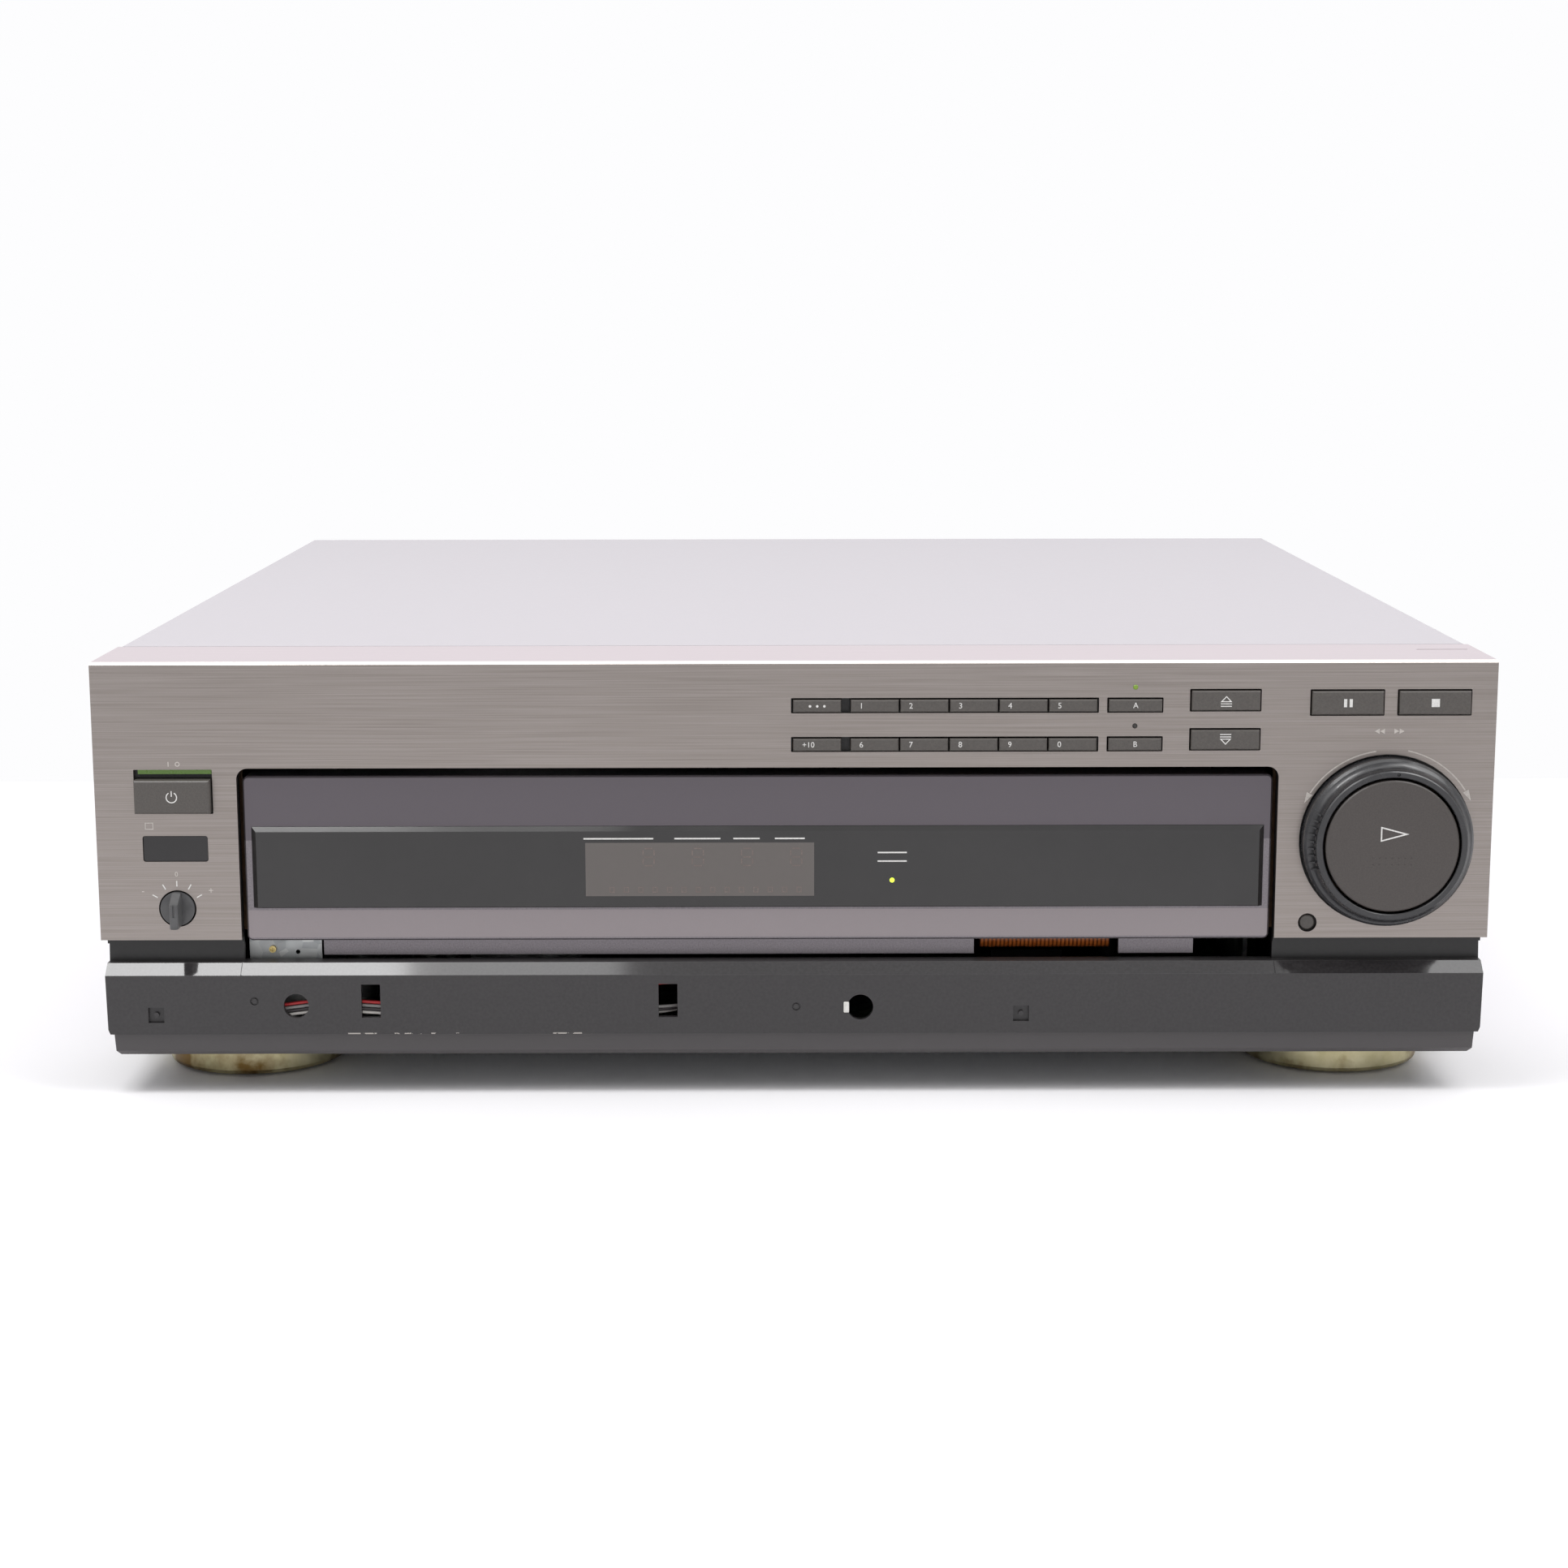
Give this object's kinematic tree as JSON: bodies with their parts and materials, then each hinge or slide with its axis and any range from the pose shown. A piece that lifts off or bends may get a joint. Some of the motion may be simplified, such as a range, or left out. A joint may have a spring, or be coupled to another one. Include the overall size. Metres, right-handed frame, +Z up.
{
  "type": "laserdisc player",
  "caption": "Low front-loading disc player with a wide disc tray door, key rows, a round play control with a turning ring, and round feet.",
  "frame": {"origin": "ground plane, under the middle of the player's bounding box", "axes": "+Z up, -Y the front, +X to the right seen from the front"},
  "size_m": [0.43, 0.439, 0.135],
  "materials": {
    "brushed_panel": "brushed along X, warm grey",
    "painted_cover": "satin, pale lavender-grey",
    "champagne_metal": "satin, champagne tint",
    "zinc_steel": "galvanised",
    "black_moulding": "fine grain",
    "plinth_plastic": "fine grain, satin",
    "key_plastic": "satin",
    "ring_plastic": "gloss",
    "door_paint": "metallic, satin",
    "smoked_acrylic": "gloss",
    "light_plastic": "gloss, translucent",
    "tray_plastic": "fine grain",
    "gear_plastic": "natural acetal",
    "circuit_board": "solder mask",
    "rubber_pad": "matte",
    "shaft_steel": "ground",
    "ribbon_orange": "polyimide",
    "wire_sheath": "vinyl"
  },
  "bodies": {
    "cabinet": {"back_panel": "zinc_steel", "chassis_pan": "zinc_steel", "control_boards": "circuit_board", "feet": "champagne_metal", "foot_pads": "rubber_pad", "front_frame": "black_moulding", "front_panel": "brushed_panel", "indicator_lights": "light_plastic", "ir_window": "smoked_acrylic", "loader_frame": "zinc_steel", "loading_motor": "zinc_steel", "main_board": "circuit_board", "mains_inlet": "black_moulding", "plinth": "plinth_plastic", "power_board": "circuit_board", "rear_jacks": "black_moulding", "screws": "champagne_metal", "top_cover": "painted_cover", "transformer": "zinc_steel", "tray_bracket": "zinc_steel", "wire_harness": "wire_sheath"},
    "tray_body": {"tray": "tray_plastic", "tray_front": "door_paint", "window_strip": "smoked_acrylic", "display_tube": "smoked_acrylic", "tray_lip": "door_paint", "display_ribbon": "ribbon_orange"},
    "deck_body": {"mech_deck": "zinc_steel", "pickup_track": "shaft_steel", "spindle_motor": "zinc_steel"},
    "turntable_body": {"turntable": "tray_plastic"},
    "sled_body": {"pickup_sled": "zinc_steel"},
    "sled_pinion_body": {"sled_pinion": "gear_plastic"},
    "clamper_body": {"clamper": "tray_plastic"},
    "lift_cam_body": {"lift_cam": "zinc_steel"},
    "loading_gear_body": {"loading_gear": "gear_plastic"},
    "motor_pinion_body": {"motor_pinion": "gear_plastic"},
    "shuttle_ring_body": {"shuttle_ring": "ring_plastic"},
    "picture_knob_body": {"picture_knob": "key_plastic"},
    "power_button_body": {"power_button": "key_plastic"},
    "key_program_body": {"key_program": "key_plastic"},
    "key_plus_ten_body": {"key_plus_ten": "key_plastic"},
    "key_0_body": {"key_0": "key_plastic"},
    "key_1_body": {"key_1": "key_plastic"},
    "key_2_body": {"key_2": "key_plastic"},
    "key_3_body": {"key_3": "key_plastic"},
    "key_4_body": {"key_4": "key_plastic"},
    "key_5_body": {"key_5": "key_plastic"},
    "key_6_body": {"key_6": "key_plastic"},
    "key_7_body": {"key_7": "key_plastic"},
    "key_8_body": {"key_8": "key_plastic"},
    "key_9_body": {"key_9": "key_plastic"},
    "side_a_button_body": {"side_a_button": "key_plastic"},
    "side_b_button_body": {"side_b_button": "key_plastic"},
    "open_button_body": {"open_button": "key_plastic"},
    "close_button_body": {"close_button": "key_plastic"},
    "pause_button_body": {"pause_button": "key_plastic"},
    "stop_button_body": {"stop_button": "key_plastic"},
    "play_button_body": {"play_button": "key_plastic"},
    "display_button_body": {"display_button": "key_plastic"}
  },
  "joints": [
    {"name": "power_button_push", "type": "slide", "parent": "cabinet", "child": "power_button_body", "axis": [0, 1, 0], "range_m": [0, 0.0025], "stiffness_N_per_m": 120, "springref_m": -0.001},
    {"name": "key_program_push", "type": "slide", "parent": "cabinet", "child": "key_program_body", "axis": [0, 1, 0], "range_m": [0, 0.001], "stiffness_N_per_m": 150, "springref_m": -0.001},
    {"name": "key_plus_ten_push", "type": "slide", "parent": "cabinet", "child": "key_plus_ten_body", "axis": [0, 1, 0], "range_m": [0, 0.001], "stiffness_N_per_m": 150, "springref_m": -0.001},
    {"name": "key_0_push", "type": "slide", "parent": "cabinet", "child": "key_0_body", "axis": [0, 1, 0], "range_m": [0, 0.001], "stiffness_N_per_m": 150, "springref_m": -0.001},
    {"name": "key_1_push", "type": "slide", "parent": "cabinet", "child": "key_1_body", "axis": [0, 1, 0], "range_m": [0, 0.001], "stiffness_N_per_m": 150, "springref_m": -0.001},
    {"name": "key_2_push", "type": "slide", "parent": "cabinet", "child": "key_2_body", "axis": [0, 1, 0], "range_m": [0, 0.001], "stiffness_N_per_m": 150, "springref_m": -0.001},
    {"name": "key_3_push", "type": "slide", "parent": "cabinet", "child": "key_3_body", "axis": [0, 1, 0], "range_m": [0, 0.001], "stiffness_N_per_m": 150, "springref_m": -0.001},
    {"name": "key_4_push", "type": "slide", "parent": "cabinet", "child": "key_4_body", "axis": [0, 1, 0], "range_m": [0, 0.001], "stiffness_N_per_m": 150, "springref_m": -0.001},
    {"name": "key_5_push", "type": "slide", "parent": "cabinet", "child": "key_5_body", "axis": [0, 1, 0], "range_m": [0, 0.001], "stiffness_N_per_m": 150, "springref_m": -0.001},
    {"name": "key_6_push", "type": "slide", "parent": "cabinet", "child": "key_6_body", "axis": [0, 1, 0], "range_m": [0, 0.001], "stiffness_N_per_m": 150, "springref_m": -0.001},
    {"name": "key_7_push", "type": "slide", "parent": "cabinet", "child": "key_7_body", "axis": [0, 1, 0], "range_m": [0, 0.001], "stiffness_N_per_m": 150, "springref_m": -0.001},
    {"name": "key_8_push", "type": "slide", "parent": "cabinet", "child": "key_8_body", "axis": [0, 1, 0], "range_m": [0, 0.001], "stiffness_N_per_m": 150, "springref_m": -0.001},
    {"name": "key_9_push", "type": "slide", "parent": "cabinet", "child": "key_9_body", "axis": [0, 1, 0], "range_m": [0, 0.001], "stiffness_N_per_m": 150, "springref_m": -0.001},
    {"name": "side_a_button_push", "type": "slide", "parent": "cabinet", "child": "side_a_button_body", "axis": [0, 1, 0], "range_m": [0, 0.001], "stiffness_N_per_m": 150, "springref_m": -0.001},
    {"name": "side_b_button_push", "type": "slide", "parent": "cabinet", "child": "side_b_button_body", "axis": [0, 1, 0], "range_m": [0, 0.001], "stiffness_N_per_m": 150, "springref_m": -0.001},
    {"name": "open_button_push", "type": "slide", "parent": "cabinet", "child": "open_button_body", "axis": [0, 1, 0], "range_m": [0, 0.001], "stiffness_N_per_m": 150, "springref_m": -0.001},
    {"name": "close_button_push", "type": "slide", "parent": "cabinet", "child": "close_button_body", "axis": [0, 1, 0], "range_m": [0, 0.001], "stiffness_N_per_m": 150, "springref_m": -0.001},
    {"name": "pause_button_push", "type": "slide", "parent": "cabinet", "child": "pause_button_body", "axis": [0, 1, 0], "range_m": [0, 0.001], "stiffness_N_per_m": 150, "springref_m": -0.001},
    {"name": "stop_button_push", "type": "slide", "parent": "cabinet", "child": "stop_button_body", "axis": [0, 1, 0], "range_m": [0, 0.001], "stiffness_N_per_m": 150, "springref_m": -0.001},
    {"name": "play_button_push", "type": "slide", "parent": "cabinet", "child": "play_button_body", "axis": [0, 1, 0], "range_m": [0, 0.0012], "stiffness_N_per_m": 150, "springref_m": -0.001},
    {"name": "display_button_push", "type": "slide", "parent": "cabinet", "child": "display_button_body", "axis": [0, 1, 0], "range_m": [0, 0.001], "stiffness_N_per_m": 150, "springref_m": -0.001},
    {"name": "shuttle_ring_turn", "type": "hinge", "parent": "cabinet", "child": "shuttle_ring_body", "pos_m": [0.1824, -0.21945, 0.0792], "axis": [0, -1, 0], "range_deg": [-70, 70], "stiffness_Nm_per_rad": 0.02},
    {"name": "picture_knob_turn", "type": "hinge", "parent": "cabinet", "child": "picture_knob_body", "pos_m": [-0.1908, -0.20945, 0.0584], "axis": [0, -1, 0], "range_deg": [-60, 60]},
    {"name": "tray_slide", "type": "slide", "parent": "cabinet", "child": "tray_body", "axis": [0, -1, 0], "range_m": [0, 0.328]},
    {"name": "loading_gear_turn", "type": "hinge", "parent": "cabinet", "child": "loading_gear_body", "pos_m": [-0.14419, -0.14545, 0.06], "axis": [0, 0, 1], "range_deg": [-5, 1510]},
    {"name": "motor_pinion_turn", "type": "hinge", "parent": "cabinet", "child": "motor_pinion_body", "pos_m": [-0.11919, -0.14545, 0.06], "axis": [0, 0, 1], "range_deg": [-6030, 20]},
    {"name": "deck_lift", "type": "slide", "parent": "cabinet", "child": "deck_body", "axis": [0, 0, 1], "range_m": [0, 0.011]},
    {"name": "lift_cam_slide", "type": "slide", "parent": "cabinet", "child": "lift_cam_body", "axis": [0, 1, 0], "range_m": [0, 0.033]},
    {"name": "turntable_spin", "type": "hinge", "parent": "deck_body", "child": "turntable_body", "pos_m": [-0.01125, -0.03545, 0.064], "axis": [0, 0, 1], "continuous": true},
    {"name": "clamper_spin", "type": "hinge", "parent": "cabinet", "child": "clamper_body", "pos_m": [-0.01125, -0.03545, 0.09], "axis": [0, 0, 1], "continuous": true},
    {"name": "sled_slide", "type": "slide", "parent": "deck_body", "child": "sled_body", "axis": [0, 1, 0], "range_m": [0, 0.12]},
    {"name": "sled_pinion_turn", "type": "hinge", "parent": "sled_body", "child": "sled_pinion_body", "pos_m": [-0.02825, 0.00255, 0.0488], "axis": [1, 0, 0], "range_deg": [-1380, 10]}
  ],
  "couplings": [
    {"joint": "loading_gear_turn", "follows": "tray_slide", "rad_per_m": 80},
    {"joint": "motor_pinion_turn", "follows": "tray_slide", "rad_per_m": -320},
    {"joint": "lift_cam_slide", "follows": "deck_lift", "ratio": 3},
    {"joint": "clamper_spin", "follows": "turntable_spin", "ratio": 1},
    {"joint": "sled_pinion_turn", "follows": "sled_slide", "rad_per_m": -200}
  ]
}
